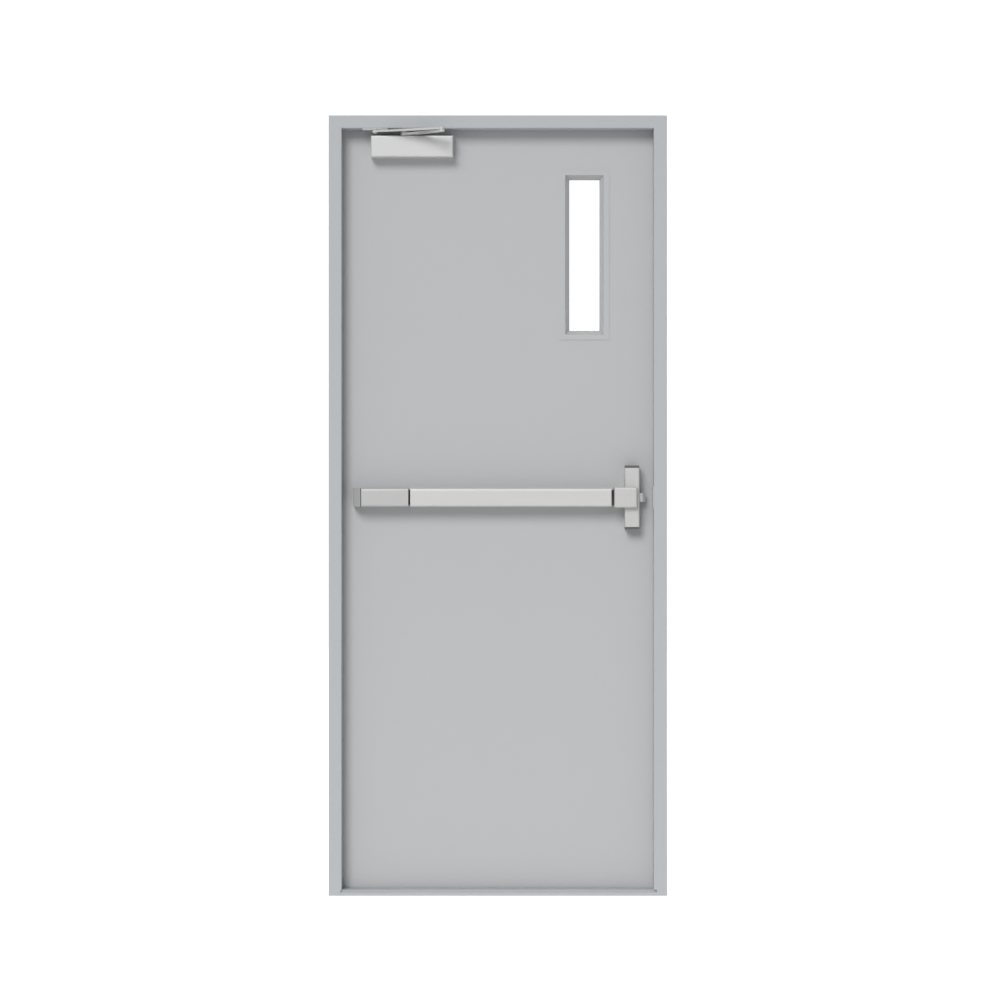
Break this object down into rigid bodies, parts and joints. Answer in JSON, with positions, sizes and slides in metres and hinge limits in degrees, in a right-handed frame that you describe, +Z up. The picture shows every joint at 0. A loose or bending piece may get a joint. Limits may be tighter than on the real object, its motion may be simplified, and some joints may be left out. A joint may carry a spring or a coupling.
{
  "type": "steel fire door",
  "caption": "Flush grey steel fire door in its pressed steel frame, with a tall narrow vision panel, a push bar exit device and a double-arm closer.",
  "frame": {"origin": "floor level under the middle of the sill, in the middle of the frame's depth", "axes": "+X to the right seen from the push side (lock side), +Y away from the push side, the way the leaf opens, +Z up"},
  "size_m": [0.91, 0.1821, 2.1],
  "materials": {
    "frame_paint": "satin light grey paint",
    "leaf_paint": "satin light grey paint",
    "core_wool": "pressed mineral wool",
    "seal_rubber": "matt",
    "zinc_plate": "zinc plated",
    "hinge_steel": "satin",
    "closer_silver": "silver enamel",
    "exit_silver": "silver enamel",
    "exit_grey": "grey enamel",
    "push_bar_silver": "silver enamel",
    "case_end_plastic": "matt dark grey",
    "latch_steel": "satin",
    "fire_glass": "clear"
  },
  "bodies": {
    "frame": {"frame_head": "frame_paint", "hinge_jamb": "frame_paint", "lock_jamb": "frame_paint", "sill": "frame_paint", "seal_head": "seal_rubber", "seal_hinge_side": "seal_rubber", "seal_lock_side": "seal_rubber", "seal_sill": "seal_rubber", "anchors_hinge_side": "zinc_plate", "anchors_lock_side": "zinc_plate", "hinge_reinforcements": "frame_paint", "rim_strike": "latch_steel", "closer_shoe": "closer_silver", "hinge_top_frame_half": "hinge_steel", "hinge_middle_frame_half": "hinge_steel", "hinge_bottom_frame_half": "hinge_steel"},
    "leaf": {"leaf_front_skin": "leaf_paint", "leaf_back_skin": "leaf_paint", "leaf_top_channel": "leaf_paint", "leaf_bottom_channel": "leaf_paint", "leaf_core": "core_wool", "vision_frame_front": "leaf_paint", "vision_frame_back": "leaf_paint", "vision_glass": "fire_glass", "hinge_top_leaf_half": "hinge_steel", "hinge_middle_leaf_half": "hinge_steel", "hinge_bottom_leaf_half": "hinge_steel", "closer_body": "closer_silver", "exit_rail": "exit_silver", "exit_rail_cover": "exit_grey", "exit_end_cap": "exit_grey", "exit_case": "exit_silver", "exit_case_ends": "case_end_plastic", "exit_head_cap": "exit_silver"},
    "push_bar": {"push_bar": "push_bar_silver"},
    "latch": {"latch_bolt": "latch_steel"},
    "main_arm": {"closer_main_arm": "closer_silver"},
    "forearm": {"closer_forearm": "closer_silver"}
  },
  "joints": [
    {"name": "leaf_swing", "type": "hinge", "parent": "frame", "child": "leaf", "pos_m": [-0.4325, 0.057, 1], "axis": [0, 0, 1], "range_deg": [0, 110], "stiffness_Nm_per_rad": 3, "springref_deg": -17.19},
    {"name": "push_bar_press", "type": "slide", "parent": "leaf", "child": "push_bar", "axis": [0, 1, 0], "range_m": [0, 0.012], "stiffness_N_per_m": 2000, "springref_m": -0.006},
    {"name": "latch_retract", "type": "slide", "parent": "leaf", "child": "latch", "axis": [-1, 0, 0], "range_m": [0, 0.012]},
    {"name": "main_arm_turn", "type": "hinge", "parent": "leaf", "child": "main_arm", "pos_m": [-0.2515, -0.017, 2.05], "axis": [0, 0, 1], "range_deg": [-110, 0]},
    {"name": "forearm_turn", "type": "hinge", "parent": "frame", "child": "forearm", "pos_m": [-0.33059, -0.03606, 2.057], "axis": [0, 0, 1], "range_deg": [0, 110]}
  ],
  "couplings": [
    {"joint": "latch_retract", "follows": "push_bar_press", "ratio": 1},
    {"joint": "main_arm_turn", "follows": "leaf_swing", "ratio": -1},
    {"joint": "forearm_turn", "follows": "leaf_swing", "ratio": 1}
  ]
}
